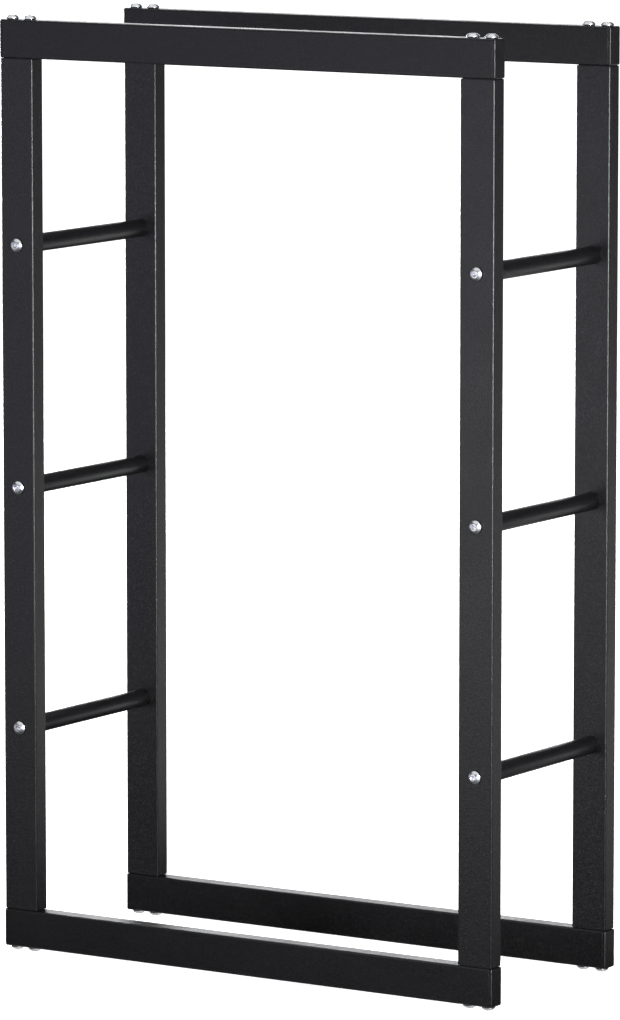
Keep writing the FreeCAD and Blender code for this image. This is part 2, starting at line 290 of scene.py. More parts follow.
def make_disc(name, height, material):
    """A wide round sheet at one height."""
    form = bmesh.new()
    bmesh.ops.create_circle(form, cap_ends=True, segments=FLOOR_STEPS, radius=FLOOR_REACH)
    bmesh.ops.translate(form, verts=form.verts, vec=(0, 0, height))
    return stage_sheet(name, form, material)


def make_floor():
    """The pale matt floor that the rack stands on."""
    pale = bpy.data.materials.new("pale_floor")
    pale.use_nodes = True
    shader = pale.node_tree.nodes["Principled BSDF"]
    shader.inputs["Base Color"].default_value = (FLOOR_WHITE, FLOOR_WHITE, FLOOR_WHITE, 1)
    shader.inputs["Roughness"].default_value = 1.0
    shader.inputs["Specular IOR Level"].default_value = 0.0
    shader.inputs["Emission Color"].default_value = (1, 1, 1, 1)
    shader.inputs["Emission Strength"].default_value = FLOOR_GLOW
    floor = make_disc("studio_floor", 0.0, pale)
    hide_from(floor, "glossy")
    return floor


def make_backdrop():
    """A round white wall at the floor's edge, half of it below the floor."""
    white, tree = start_glow("white_backdrop")
    end_glow(tree, {"Strength": BACKDROP_GLOW})
    form = bmesh.new()
    bmesh.ops.create_cone(
        form,
        segments=FLOOR_STEPS,
        radius1=FLOOR_REACH,
        radius2=FLOOR_REACH,
        depth=2 * BACKDROP_HIGH,
    )
    backdrop = stage_sheet("white_backdrop", form, white)
    hide_from(backdrop, "glossy", "diffuse", "shadow", "transmission")
    return backdrop


floor = make_floor()
backdrop = make_backdrop()
print(f"{floor.name} and {backdrop.name}, {FLOOR_REACH:.0f} m out")

# %% [markdown]
# ## The cloth and the cards
#
# A white floor would turn the lower rails grey, so for the gloss a dark cloth takes its place.
# It is nearly black close to the rack, which darkens the foot of every post, and it gets lighter
# with distance, because a face mirrors the floor further off the higher it is. Behind the rack
# it turns dark again a long way off. A few ramps by direction make it lighter straight in front
# and straight behind, leave it at full strength in a narrow wedge to the front right and at half
# elsewhere, and make it much darker behind to the left. Such a cloth could be an image, but a
# handful of named steps is easier to adjust.
#
# A small white card under each bottom rail lights the bolt heads that the rack stands on.

# %% Lay the cloth and the cards
CLOTH_DEPTH = 0.001
CLOTH_REACH = 6.0
CLOTH_GLOW = 2.4
CARD_DEPTH = 0.0005
CARD_MARGIN = 0.003
CARD_GLOW = 0.6
CLOTH_IN_FRONT = [
    (0.0, 0.05),
    (0.05, 0.07),
    (0.1, 0.11),
    (0.175, 0.25),
    (0.4, (0.46, 0.46, 0.54)),
    (0.6, (0.51, 0.51, 0.61)),
]
CLOTH_BEHIND = [
    (0.0, 0.05),
    (0.05, 0.2),
    (0.1, 0.66),
    (0.3, 0.98),
    (0.55, 0.95),
    (0.8, 0.36),
    (1.0, 0.12),
]
FRONT = Vector((0.0, -1.0, 0.0))
BACK = Vector((0.0, 1.0, 0.0))
FRONT_RIGHT = Vector((0.85, -0.53, 0.0))
BEHIND_LEFT = Vector((-0.53, 0.85, 0.0))
FRONT_TO_BEHIND = [(0.4, 0.0), (0.6, 1.0)]
LIGHTER_IN_FRONT = [(0.79, 0.86), (0.9, 1.15)]
LIGHTER_FRONT_RIGHT = [(0.955, 0.5), (0.985, 1.0)]
LIGHTER_STRAIGHT_BEHIND = [(0.79, 0.42), (0.88, 0.92), (0.95, 0.92), (0.99, 1.9)]
DARKER_BEHIND_LEFT = [(0.7, 1.0), (0.93, 0.12)]


def hide_from_all_but_gloss(thing):
    """Leaves a thing to be seen by glossy reflections only."""
    hide_from(thing, "camera", "diffuse", "shadow", "transmission")


def make_cloth():
    """The dark cloth, a ramp of distance and a few of direction multiplied together."""
    dark, tree = start_glow("dark_cloth")
    place = add(tree, "ShaderNodeTexCoord").outputs["Object"]
    reach = add(tree, "ShaderNodeVectorMath", {0: place}, operation="LENGTH").outputs["Value"]
    way = add(tree, "ShaderNodeVectorMath", {0: place}, operation="NORMALIZE").outputs["Vector"]
    share = add(tree, "ShaderNodeMapRange", {"Value": reach, "From Max": CLOTH_REACH})
    in_front = ramp(tree, share.outputs["Result"], CLOTH_IN_FRONT)
    behind = ramp(tree, share.outputs["Result"], CLOTH_BEHIND)
    behind = times(tree, behind, towards(tree, way, BACK, LIGHTER_STRAIGHT_BEHIND))
    shade = blend(tree, towards(tree, way, BACK, FRONT_TO_BEHIND), in_front, behind)
    for side, stops in (
        (FRONT, LIGHTER_IN_FRONT),
        (BEHIND_LEFT, DARKER_BEHIND_LEFT),
        (FRONT_RIGHT, LIGHTER_FRONT_RIGHT),
    ):
        shade = times(tree, shade, towards(tree, way, side, stops))
    end_glow(tree, {"Color": shade, "Strength": CLOTH_GLOW})
    cloth = make_disc("dark_cloth", -CLOTH_DEPTH, dark)
    hide_from_all_but_gloss(cloth)
    return cloth


def make_foot_cards():
    """A white card under each bottom rail, a little wider than the rail."""
    white, tree = start_glow("white_card")
    end_glow(tree, {"Strength": CARD_GLOW})
    cards = []
    for face in FACES:
        low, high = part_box(f"{face}_bottom_rail")
        near = low.y - CARD_MARGIN
        far = high.y + CARD_MARGIN
        corners = [(low.x, near), (high.x, near), (high.x, far), (low.x, far)]
        form = bmesh.new()
        form.faces.new([form.verts.new((x, y, -CARD_DEPTH)) for x, y in corners])
        card = stage_sheet(f"{face}_foot_card", form, white)
        hide_from_all_but_gloss(card)
        cards.append(card)
    return cards


cloth = make_cloth()
cards = make_foot_cards()
print(f"{cloth.name} and {len(cards)} cards")

# %% [markdown]
# ## The room
#
# The posts mirror the room near the horizon, and the rails' top faces mirror what is just above
# it behind. So the room is light low down, dark in a band above that, and light again overhead.
# It is darker behind to the right, where the sides of the posts look, and low down behind to
# the left it has one bright wall: the top faces of the rails, seen nearly edge on, turn white
# with it.

# %% Make the room
ROOM_IN_FRONT = [
    (0.0, (0.6, 0.6, 0.71)),
    (0.2, (0.62, 0.62, 0.72)),
    (0.3, 0.08),
    (0.6, 0.14),
    (0.75, 1.1),
]
ROOM_BEHIND = [
    (0.0, (0.6, 0.6, 0.71)),
    (0.2, (0.62, 0.62, 0.72)),
    (0.32, 0.07),
    (0.72, 0.08),
    (0.86, 1.0),
]
BEHIND_RIGHT = Vector((0.53, 0.85, 0.0))
DARKER_BEHIND_RIGHT = [(0.5, 1.0), (0.9, 0.25)]
BRIGHT_WALL = Vector((-0.53, 0.84, 0.16)).normalized()
WALL_BY_WAY = [(0.955, 0.0), (0.985, 1.0)]
WALL_BY_HEIGHT = [(0.17, 1.0), (0.26, 0.0)]
WALL_STRENGTH = 3.4


def make_room():
    """The soft room all round, with its dim side and its bright wall."""
    world = bpy.data.worlds.new("soft_room")
    bpy.context.scene.world = world
    world.use_nodes = True
    tree = world.node_tree
    tree.nodes.clear()
    way = add(tree, "ShaderNodeTexCoord").outputs["Generated"]
    height = add(tree, "ShaderNodeSeparateXYZ", {"Vector": way}).outputs["Z"]
    room = blend(
        tree,
        towards(tree, way, BACK, FRONT_TO_BEHIND),
        ramp(tree, height, ROOM_IN_FRONT),
        ramp(tree, height, ROOM_BEHIND),
    )
    room = times(tree, room, towards(tree, way, BEHIND_RIGHT, DARKER_BEHIND_RIGHT))
    room = times(tree, room, towards(tree, way, FRONT, LIGHTER_IN_FRONT))
    by_way = towards(tree, way, BRIGHT_WALL, WALL_BY_WAY)
    wall = times(tree, by_way, ramp(tree, height, WALL_BY_HEIGHT))
    bright = add(
        tree, "ShaderNodeVectorMath", {0: wall, "Scale": WALL_STRENGTH}, operation="SCALE"
    ).outputs["Vector"]
    both = add(tree, "ShaderNodeVectorMath", {0: room, 1: bright}, operation="ADD")
    glow = add(tree, "ShaderNodeBackground", {"Color": both.outputs["Vector"]})
    add(tree, "ShaderNodeOutputWorld", {"Surface": glow.outputs["Background"]})
    return world


room = make_room()
print(f"{room.name}, with a wall that adds {WALL_STRENGTH} times white")

# %% [markdown]
# ## Soft boxes
#
# A tall soft box at the front right draws the thin bright line down each rounded edge, and its
# twin behind to the left does the same for the back. A small dim one low in front lays a sheen
# on the right post of the front frame. A large one overhead lights the little that the coat
# scatters, and is left out of the gloss, where it would show as a white square.

# %% Hang the soft boxes
TALL_BOX = (0.6, 2.5)
EDGE_LIGHT_AT = (4.4, -2.8, 1.25)
EDGE_LIGHT_WATTS = 480
REAR_LIGHT_AT = (-4.4, 2.8, 1.25)
REAR_LIGHT_WATTS = 300
SMALL_BOX = (0.3, 0.75)
FRONT_LIGHT_AT = (-0.25, -1.2, 0.42)
FRONT_LIGHT_AIM = (0.28, -0.125, 0.42)
FRONT_LIGHT_WATTS = 1.15
SKY_BOX = (2.0, 2.0)
SKY_LIGHT_AT = (-0.4, -0.3, 3.5)
SKY_LIGHT_WATTS = 60


def add_soft_box(name, place, aim, size, watts, hidden=("camera",)):
    """A rectangular light that looks at a point, hidden from the given kinds of ray."""
    data = bpy.data.lights.new(name, "AREA")
    data.shape = "RECTANGLE"
    data.size, data.size_y = size
    data.energy = watts
    light = bpy.data.objects.new(name, data)
    bpy.context.scene.collection.objects.link(light)
    light.location = place
    light.rotation_euler = (Vector(aim) - Vector(place)).to_track_quat("-Z", "Y").to_euler()
    hide_from(light, *hidden)
    return light


centre = (cad_low + cad_high) / 2
unseen = ("camera", "glossy")
lights = [
    add_soft_box("edge_light", EDGE_LIGHT_AT, centre, TALL_BOX, EDGE_LIGHT_WATTS),
    add_soft_box("rear_light", REAR_LIGHT_AT, centre, TALL_BOX, REAR_LIGHT_WATTS),
    add_soft_box("front_light", FRONT_LIGHT_AT, FRONT_LIGHT_AIM, SMALL_BOX, FRONT_LIGHT_WATTS),
    add_soft_box("sky_light", SKY_LIGHT_AT, centre, SKY_BOX, SKY_LIGHT_WATTS, unseen),
]
bpy.context.scene.view_settings.view_transform = "Standard"
print(f"{len(lights)} soft boxes: {', '.join(light.name for light in lights)}")

# %% [markdown]
# ## Black powder coat
#
# Powder coat is baked plastic: near black, glossy but not smooth. The powder melts into a skin
# with a fine orange peel, a millimetre or two from dimple to dimple, with a finer grain and
# faint paler specks. An image of such a skin would repeat and would need unwrapping, so the skin
# is made from noise on Object coordinates, in metres, and every tube gets its own stretch of it.
# The skin bends the reflections through bump, and the gloss drifts a little from place to place,
# as it does where the powder lay thicker or hands have been.
#
# The rails get a shaded copy of the coat, with a lower index and fainter specks, so that they
# reflect a little less and read a little darker than the posts: painted shade.

# %% Make the powder coat
COAT_BLACK = (0.0018, 0.0018, 0.0021)
COAT_ROUGHNESS = (0.29, 0.37)
DRIFT_SIZE = 0.06
PEEL_SIZE = 0.0018
PEEL_DEPTH = 0.0002
GRAIN_SIZE = 0.0006
GRAIN_DEPTH = 0.00015
GRAIN_ROUGHNESS = (-0.02, 0.03)
SPECK_SIZE = 0.0016
SPECK_FROM = 0.5
SPECK_FULL = 0.8
POST_SPECKS = 4.6
# Painted shade: the rails' fainter specks and lower index make them darker than the posts.
RAIL_SHADED_SPECKS = 3.2
POST_INDEX = 1.5
RAIL_SHADED_INDEX = 1.44
NO_DETAIL = 0.0
SOME_DETAIL = 2.0
FINE_DETAIL = 3.0
NOISE_LOW = 0.3
NOISE_HIGH = 0.7


def start_material(name):
    """A new material and its tree, its shader and the surface's own place in metres."""
    material = bpy.data.materials.new(name)
    material.use_nodes = True
    tree = material.node_tree
    place = add(tree, "ShaderNodeTexCoord").outputs["Object"]
    return material, tree, tree.nodes["Principled BSDF"], place


def noise(tree, place, size, detail=SOME_DETAIL):
    """Noise whose lumps are about the given size, as a value from 0 to 1."""
    sockets = {"Vector": place, "Scale": 1 / size, "Detail": detail}
    return add(tree, "ShaderNodeTexNoise", sockets).outputs["Fac"]


def spread(tree, value, low, high):
    """The noise value carried to the range low to high."""
    taken = {"Value": value, "From Min": NOISE_LOW, "From Max": NOISE_HIGH}
    given = {"To Min": low, "To Max": high}
    return add(tree, "ShaderNodeMapRange", {**taken, **given}).outputs["Result"]


def relief(tree, height, depth, strength=1.0, over=None):
    """Normals bent by a relief of this depth, on top of an earlier relief if one is given."""
    sockets = {"Height": height, "Distance": depth, "Strength": strength}
    if over is not None:
        sockets["Normal"] = over
    return add(tree, "ShaderNodeBump", sockets).outputs["Normal"]


def make_powder_coat(name, index, paleness):
    """Black baked powder: specks are so many times paler than the rest of the coat."""
    material, tree, shader, place = start_material(name)
    peel = noise(tree, place, PEEL_SIZE)
    grain = noise(tree, place, GRAIN_SIZE, FINE_DETAIL)
    drift = noise(tree, place, DRIFT_SIZE, FINE_DETAIL)
    specks = noise(tree, place, SPECK_SIZE, NO_DETAIL)
    pale = tuple(paleness * part for part in COAT_BLACK)
    colour = ramp(tree, specks, [(SPECK_FROM, COAT_BLACK), (SPECK_FULL, pale)])
    tree.links.new(colour, shader.inputs["Base Color"])
    slow = spread(tree, drift, *COAT_ROUGHNESS)
    fine = spread(tree, grain, *GRAIN_ROUGHNESS)
    tree.links.new(maths(tree, slow, fine, "ADD"), shader.inputs["Roughness"])
    waves = relief(tree, peel, PEEL_DEPTH)
    tree.links.new(relief(tree, grain, GRAIN_DEPTH, over=waves), shader.inputs["Normal"])
    shader.inputs["IOR"].default_value = index
    return material


powder_coat = make_powder_coat("baked_black_powder", POST_INDEX, POST_SPECKS)
# The rails' coat is a shaded copy of the posts' coat, painted a little darker.
shaded_rail_coat = make_powder_coat("baked_black_powder_rail_shaded", RAIL_SHADED_INDEX, RAIL_SHADED_SPECKS)
for coat in (powder_coat, shaded_rail_coat):
    print(f"{coat.name}: peel {PEEL_SIZE * 1000} mm, grain {GRAIN_SIZE * 1000} mm")

# %% [markdown]
# ## Bright zinc
#
# The bolts are turned and zinc plated. Turning leaves fine rings round the bolt's own axis, which
# Object coordinates can't follow, because a bolt may stand anywhere on the rack. So each bolt
# carries its own place in an attribute, measured from its own seat, and the rings are drawn
# with the distance from its axis. The plating is faintly blue and a little cloudy.

# %% Make the zinc
BOLT_PLACE = "bolt_place"
CLOUD_SIZE = 0.004
ZINC = [(NOISE_LOW, (0.62, 0.64, 0.67)), (NOISE_HIGH, (0.84, 0.85, 0.87))]
ZINC_ROUGHNESS = (0.2, 0.32)
RING_STEP = 0.00035
RING_DEPTH = 0.00001
RING_STRENGTH = 0.3


def make_zinc():
    """Bright zinc with turning rings round each bolt's own axis."""
    material, tree, shader, place = start_material("bright_zinc")
    cloud = noise(tree, place, CLOUD_SIZE, FINE_DETAIL)
    tree.links.new(ramp(tree, cloud, ZINC), shader.inputs["Base Color"])
    shader.inputs["Metallic"].default_value = 1.0
    tree.links.new(spread(tree, cloud, *ZINC_ROUGHNESS), shader.inputs["Roughness"])
    own = add(tree, "ShaderNodeAttribute", attribute_name=BOLT_PLACE).outputs["Vector"]
    flat = times(tree, own, (1, 1, 0))
    reach = add(tree, "ShaderNodeVectorMath", {0: flat}, operation="LENGTH").outputs["Value"]
    turns = maths(tree, reach, math.tau / RING_STEP, "MULTIPLY")
    rings = add(tree, "ShaderNodeMath", {0: turns}, operation="SINE").outputs[0]
    tree.links.new(relief(tree, rings, RING_DEPTH, RING_STRENGTH), shader.inputs["Normal"])
    return material


zinc = make_zinc()
print(f"{zinc.name}: turning rings every {RING_STEP * 1000} mm")

# %% [markdown]
# ## Bare steel
#
# The plugs inside the rungs are cut from bar and never see daylight. They are left as the packed
# model has them, and only need a finish: bare steel, brushed along its length by the saw and the
# drawing die, a little darker where oil has dried. The blocks in the ends of the posts are
# welded in before the powder goes on, so they are black like the posts, and the fine gap between
# a post and a rail stays dark.

# %% Make the bare steel
STEEL = [(NOISE_LOW, (0.30, 0.29, 0.28)), (NOISE_HIGH, (0.46, 0.45, 0.44))]
STEEL_ROUGHNESS = (0.32, 0.5)
STREAK_SIZE = 0.0003
STREAK_SQUEEZE = (1.0, 0.06, 1.0)
STREAK_DEPTH = 0.00002
STREAK_STRENGTH = 0.3
OIL_SIZE = 0.006
OIL_DETAIL = 4.0


def make_bare_steel():
    """Drawn bar: streaks a third of a millimetre wide and some millimetres long."""
    material, tree, shader, place = start_material("drawn_bare_steel")
    drawn = add(tree, "ShaderNodeMapping", {"Vector": place, "Scale": STREAK_SQUEEZE})
    streaks = noise(tree, drawn.outputs["Vector"], STREAK_SIZE, FINE_DETAIL)
    oil = noise(tree, place, OIL_SIZE, OIL_DETAIL)
    tree.links.new(ramp(tree, oil, STEEL), shader.inputs["Base Color"])
    shader.inputs["Metallic"].default_value = 1.0
    tree.links.new(spread(tree, streaks, *STEEL_ROUGHNESS), shader.inputs["Roughness"])
    marks = relief(tree, streaks, STREAK_DEPTH, STREAK_STRENGTH)
    tree.links.new(marks, shader.inputs["Normal"])
    return material


def finish_inner_pieces(ending, material):
    """A finish for the pieces inside the tubes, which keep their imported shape."""
    inner = [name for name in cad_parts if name.endswith(ending)]
    for name in inner:
        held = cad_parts[name]
        held.data.materials.clear()
        held.data.materials.append(material)
    print(f"{len(inner)} pieces named *{ending} in {material.name}")


bare_steel = make_bare_steel()
finish_inner_pieces("_plug", bare_steel)
finish_inner_pieces("_block", powder_coat)

# %% [markdown]
# ## Running a tree of nodes
#
# A Geometry Nodes tree works as a modifier, so it needs an object to stand on. Its inputs are
# set by their identifiers before the object is first evaluated. The result is then turned into a
# plain mesh, which holds the finished shape and no modifier, and that mesh is put in its place.

# %% Helpers that run a tree
def start_tree(name, inputs):
    """A new geometry tree with named inputs: gives the tree and its input sockets."""
    tree = bpy.data.node_groups.new(name, "GeometryNodeTree")
    tree.interface.new_socket("Geometry", in_out="OUTPUT", socket_type="NodeSocketGeometry")
    tree.interface.new_socket("Geometry", in_out="INPUT", socket_type="NodeSocketGeometry")
    for title, kind in inputs.items():
        tree.interface.new_socket(title, in_out="INPUT", socket_type="NodeSocket" + kind)
    tree.interface.new_socket("Finish", in_out="INPUT", socket_type="NodeSocketMaterial")
    return tree, add(tree, "NodeGroupInput").outputs


def end_tree(tree, geometry, finish):
    """The tree's last nodes: real geometry with its material on it."""
    real = add(tree, "GeometryNodeRealizeInstances", {"Geometry": geometry})
    dressed = add(
        tree,
        "GeometryNodeSetMaterial",
        {"Geometry": real.outputs["Geometry"], "Material": finish},
    )
    add(tree, "NodeGroupOutput", {"Geometry": dressed.outputs["Geometry"]})


def run_tree(tree, values, finish, start=None):
    """The plain mesh that the tree makes from these values."""
    blank = start or bpy.data.meshes.new("blank")
    stand = bpy.data.objects.new("stand", blank)
    bpy.context.scene.collection.objects.link(stand)
    modifier = stand.modifiers.new("tree", "NODES")
    modifier.node_group = tree
    given = {**values, "Finish": finish}
    for item in tree.interface.items_tree:
        if item.in_out == "INPUT" and item.name in given:
            modifier[item.identifier] = given[item.name]
    view = bpy.context.evaluated_depsgraph_get()
    mesh = bpy.data.meshes.new_from_object(stand.evaluated_get(view))
    bpy.data.objects.remove(stand)
    return mesh


def is_closed(mesh):
    """Every edge has exactly two faces."""
    form = bmesh.new()
    form.from_mesh(mesh)
    closed = all(len(edge.link_faces) == 2 for edge in form.edges)
    form.free()
    return closed


def outward(mesh):
    """The mesh with its faces turned outwards, if it came out with a negative volume."""
    form = bmesh.new()
    form.from_mesh(mesh)
    if form.calc_volume(signed=True) < 0:
        bmesh.ops.reverse_faces(form, faces=form.faces)
        form.to_mesh(mesh)
    form.free()
    return mesh


def make_piece(name, mesh, matrix, slot, *nodes):
    """A finished piece: its place in its mesh, riding on the rack, standing for its nodes."""
    placed = mesh.copy()
    placed.name = name
    placed.transform(matrix)
    piece = bpy.data.objects.new(name, placed)
    bpy.context.scene.collection.objects.link(piece)
    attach(piece, "root")
    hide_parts(*nodes)
    return piece


print("helpers that build, run and place a tree")

# %% [markdown]
# ## The tubes
#
# A tube could be an extruded ring, but its two ends would then need their own caps and bevels.
# It is simpler to see the wall as the thing that is carried: a strip as thick as the wall and as
# long as the tube, with its long thin corners rounded, goes once round the section's middle
# line. That gives the outside, the inside and both rounded rims in one closed skin of four-sided
# faces. The bolt holes are then drilled through it by a row of round cutters.
#
# Only the narrow rounded strips are shaded smooth. The wide faces stay flat, so that a long
# reflection runs along them unbent.

# %% The tree for a rectangular tube
ROUND_STEPS = 8
RIM_STEPS = 3
DRILL_STEPS = 48
ALONG_Y = (math.pi / 2, 0, 0)
ALONG_X = (0, math.pi / 2, 0)
NEARLY_FLAT = 0.9985


def rounded_rectangle(tree, wide, deep, corner, steps):
    """A closed rounded rectangle, as a curve."""
    sharp = add(
        tree, "GeometryNodeCurvePrimitiveQuadrilateral", {"Width": wide, "Height": deep}
    )
    soft = add(
        tree,
        "GeometryNodeFilletCurve",
        {"Curve": sharp.outputs["Curve"], "Count": steps, "Radius": corner},
        mode="POLY",
    )
    return soft.outputs["Curve"]


def carry_wall(tree, route, wall, long, rim):
    """The wall's own section, as long as the tube, carried once round a closed route."""
    strip = rounded_rectangle(tree, wall, long, rim, RIM_STEPS)
    return add(
        tree, "GeometryNodeCurveToMesh", {"Curve": route, "Profile Curve": strip}
    ).outputs["Mesh"]


def row_of_points(tree, count, step):
    """Points in a row along Z, centred on the origin."""
    span = maths(tree, maths(tree, count, 1, "SUBTRACT"), step, "MULTIPLY")
    first = add(tree, "ShaderNodeCombineXYZ", {"Z": maths(tree, span, -0.5, "MULTIPLY")})
    apart = add(tree, "ShaderNodeCombineXYZ", {"Z": step})
    return add(
        tree,
        "GeometryNodeMeshLine",
        {"Count": count, "Start Location": first.outputs[0], "Offset": apart.outputs[0]},
    ).outputs["Mesh"]


def repeat(tree, points, thing, turn=(0, 0, 0)):
    """The thing at every point, as real geometry."""
    copies = add(
        tree,
        "GeometryNodeInstanceOnPoints",
        {"Points": points, "Instance": thing, "Rotation": turn},
    )
    return add(
        tree, "GeometryNodeRealizeInstances", {"Geometry": copies.outputs["Instances"]}
    ).outputs["Geometry"]


def shade_rounds(tree, geometry):
    """Smooth shading on the rounded strips only."""
    normal = add(tree, "GeometryNodeInputNormal").outputs["Normal"]
    facing = add(tree, "ShaderNodeSeparateXYZ", {"Vector": normal})
    sizes = [
        add(tree, "ShaderNodeMath", {0: part}, operation="ABSOLUTE").outputs[0]
        for part in facing.outputs
    ]
    most = maths(tree, maths(tree, sizes[0], sizes[1], "MAXIMUM"), sizes[2], "MAXIMUM")
    turned = add(
        tree, "FunctionNodeCompare", {"A": most, "B": NEARLY_FLAT}, operation="LESS_THAN"
    )
    return add(
        tree,
        "GeometryNodeSetShadeSmooth",
        {"Geometry": geometry, "Shade Smooth": turned.outputs["Result"]},
    ).outputs["Geometry"]


def make_rectangular_tube_tree():
    """A drilled rectangular tube along Z, centred on the origin."""
    sizes = dict.fromkeys(("Wide", "Deep", "Wall", "Corner", "Rim", "Long", "Drill"), "Float")
    holes = {"Groups": "Int", "Group Step": "Float", "Holes": "Int", "Hole Step": "Float"}
    tree, given = start_tree("rectangular_tube", {**sizes, **holes, "Drill Turn": "Vector"})
    half_wall = maths(tree, given["Wall"], 0.5, "MULTIPLY")
    route = rounded_rectangle(
        tree,
        maths(tree, given["Wide"], given["Wall"], "SUBTRACT"),
        maths(tree, given["Deep"], given["Wall"], "SUBTRACT"),
        maths(tree, given["Corner"], half_wall, "SUBTRACT"),
        ROUND_STEPS,
    )
    tube = carry_wall(tree, route, given["Wall"], given["Long"], given["Rim"])
    group = row_of_points(tree, given["Holes"], given["Hole Step"])
    places = repeat(tree, row_of_points(tree, given["Groups"], given["Group Step"]), group)
    cutter = add(
        tree,
        "GeometryNodeMeshCylinder",
        {
            "Vertices": DRILL_STEPS,
            "Radius": maths(tree, given["Drill"], 0.5, "MULTIPLY"),
            "Depth": maths(tree, given["Wide"], 2.0, "MULTIPLY"),
        },
    ).outputs["Mesh"]
    cutters = repeat(tree, places, cutter, given["Drill Turn"])
    drilled = add(tree, "GeometryNodeMeshBoolean", operation="DIFFERENCE", solver="EXACT")
    tree.links.new(tube, drilled.inputs["Mesh 1"])
    tree.links.new(cutters, drilled.inputs["Mesh 2"])
    end_tree(tree, shade_rounds(tree, drilled.outputs["Mesh"]), given["Finish"])
    return tree


rectangular_tube = make_rectangular_tube_tree()
print(f"{rectangular_tube.name}: {len(rectangular_tube.nodes)} nodes")

# %% [markdown]
# ## Rails and posts
#
# The four rails lie along X, standing on their narrow sides, and two upright bolts at each end
# pass right through them. The four posts stand between a bottom and a top rail, and three rung
# bolts pass through each from front to back. One mesh does for all the rails and one for all the
# posts, because the rack is the same front and rear, left and right.
#
# The powder goes on before the frames are bolted together, so a joint shows as a dark hairline.
# Each post therefore stops half a millimetre short of the rails.

# %% Make the rails and posts
def make_tubes():
    """Four rails and four posts, each from the same tree."""
    common = {
        "Wide": TUBE_WIDE,
        "Deep": TUBE_DEEP,
        "Wall": TUBE_WALL,
        "Corner": TUBE_CORNER,
        "Rim": TUBE_RIM,
        "Drill": BOLT_HOLE,
    }
    rail_drilling = {
        "Long": RAIL_LONG - 2 * PLATE_THICK,
        "Groups": 2,
        "Group Step": POST_SPACING,
        "Holes": 2,
        "Hole Step": PAIR_STEP,
        "Drill Turn": ALONG_X,
    }
    post_drilling = {
        "Long": POST_LONG - 2 * JOINT_GAP,
        "Groups": 1,
        "Group Step": 0.0,
        "Holes": len(RUNGS),
        "Hole Step": RUNG_STEP,
        "Drill Turn": ALONG_Y,
    }
    rail = outward(run_tree(rectangular_tube, {**common, **rail_drilling}, shaded_rail_coat))
    post = outward(run_tree(rectangular_tube, {**common, **post_drilling}, powder_coat))
    along_x = Matrix.Rotation(-math.pi / 2, 4, "Y")
    tubes = []
    for face in FACES:
        for level in LEVELS:
            node = f"{face}_{level}_rail"
            spot = Matrix.Translation(middle(node)) @ along_x
            tubes.append(make_piece(node + "_tube", rail, spot, "black_powder_coat", node))
        for side in SIDES:
            node = f"{face}_{side}_post"
            spot = Matrix.Translation(middle(node))
            tubes.append(make_piece(node + "_tube", post, spot, "black_powder_coat", node))
    print(f"rail closed: {is_closed(rail)}, post closed: {is_closed(post)}")
    return tubes


tubes = make_tubes()
print(f"{len(tubes)} tubes, {sum(len(tube.data.polygons) for tube in tubes)} faces in all")

# %% [markdown]
# ## End plates
#
# A small plate is welded over each open end of a rail and ground flush, which leaves a soft
# rounded end. A plate is a stack of rounded rectangles that shrink along a quarter circle, so
# it is lofted ring by ring in bmesh, which takes fewer steps than a tree for one small shape.

# %% Make the end plates
PLATE_STEPS = 6


def rounded_ring(wide, deep, corner, height):
    """The points of a rounded rectangle at one height, anticlockwise from above."""
    points = []
    for quarter in range(4):
        right = 1 if quarter in (0, 3) else -1
        back = 1 if quarter in (0, 1) else -1
        hub = Vector((right * (wide / 2 - corner), back * (deep / 2 - corner), height))
        for step in range(ROUND_STEPS + 1):
            angle = math.pi / 2 * (quarter + step / ROUND_STEPS)
            points.append(hub + corner * Vector((math.cos(angle), math.sin(angle), 0)))
    return points


def loft(rings):
    """A closed skin over rings of equal count, the first and last ones filled."""
    form = bmesh.new()
    rows = [[form.verts.new(point) for point in ring] for ring in rings]
    count = len(rows[0])
    for low, high in zip(rows, rows[1:]):
        for here in range(count):
            after = (here + 1) % count
            form.faces.new((low[here], low[after], high[after], high[here]))
    form.faces.new(list(reversed(rows[0])))
    form.faces.new(rows[-1])
    return form


def make_plate_mesh():
    """An end plate on the XY plane, its outer rim rounded over."""
    rings = [rounded_ring(TUBE_WIDE, TUBE_DEEP, TUBE_CORNER, 0.0)]
    for step in range(PLATE_STEPS + 1):
        angle = math.pi / 2 * step / PLATE_STEPS
        inset = PLATE_ROUNDING * (1 - math.cos(angle))
        height = PLATE_THICK - PLATE_ROUNDING * (1 - math.sin(angle))
        wide = TUBE_WIDE - 2 * inset
        deep = TUBE_DEEP - 2 * inset
        rings.append(rounded_ring(wide, deep, TUBE_CORNER - inset, height))
    form = loft(rings)
    form.normal_update()
    for face in form.faces:
        face.smooth = max(abs(part) for part in face.normal) < NEARLY_FLAT
    mesh = bpy.data.meshes.new("end_plate")
    form.to_mesh(mesh)
    form.free()
    mesh.materials.append(shaded_rail_coat)
    return mesh


def make_end_plates():
    """A plate over both ends of each rail."""
    plate = make_plate_mesh()
    print(f"plate closed: {is_closed(plate)}")
    plates = []
    for face in FACES:
        for level in LEVELS:
            for side, way in SIDES.items():
                node = f"{face}_{level}_rail_{side}_plate"
                spot = middle(node) - Vector((way * PLATE_THICK / 2, 0, 0))
                turn = Matrix.Rotation(way * math.pi / 2, 4, "Y")
                name = f"{face}_{level}_rail_{side}_end"
                place = Matrix.Translation(spot) @ turn
                plates.append(make_piece(name, plate, place, "black_powder_coat", node))
    return plates


plates = make_end_plates()
print(f"{len(plates)} end plates")

# %% [markdown]
# ## Rungs
#
# The rungs are round tube, so the same wall is carried round a circle instead. They stand square
# on the inner faces of the posts, held by a bolt at each end that runs into a plug.

# %% Make the rungs
RUNG_STEPS = 72
RUNG_SHARP = math.radians(50)


